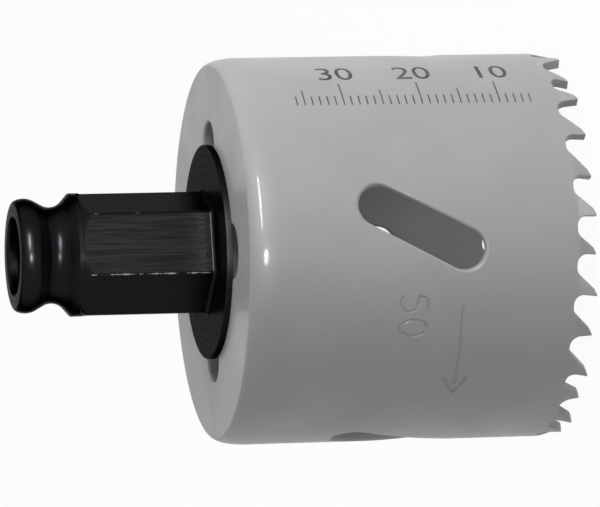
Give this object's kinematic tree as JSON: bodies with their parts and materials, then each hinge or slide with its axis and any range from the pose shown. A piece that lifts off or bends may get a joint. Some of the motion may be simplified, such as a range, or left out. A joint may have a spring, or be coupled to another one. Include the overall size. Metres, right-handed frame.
{
  "type": "hole saw",
  "caption": "Toothed steel cup that cuts round holes, with slanted chip slots, a thick cap with drive-pin holes and a black hexagonal quick-change adapter screwed into it.",
  "frame": {"origin": "centre of the circle of tooth tips, on the plane that the tips stand on", "axes": "+Z along the saw's axis from the teeth to the shank; +X and +Y across it, with one drive-pin hole at -Y"},
  "size_m": [0.0492, 0.0495, 0.0694],
  "materials": {
    "painted_band": "light grey semi-gloss enamel over steel strip",
    "painted_cap": "light grey semi-gloss enamel over steel plate",
    "black_oxide_steel": "black oxide on turned and milled steel, satin, worn bright on one edge"
  },
  "bodies": {
    "root": {"saw_band": "painted_band", "end_cap": "painted_cap", "adapter": "black_oxide_steel"}
  },
  "joints": []
}
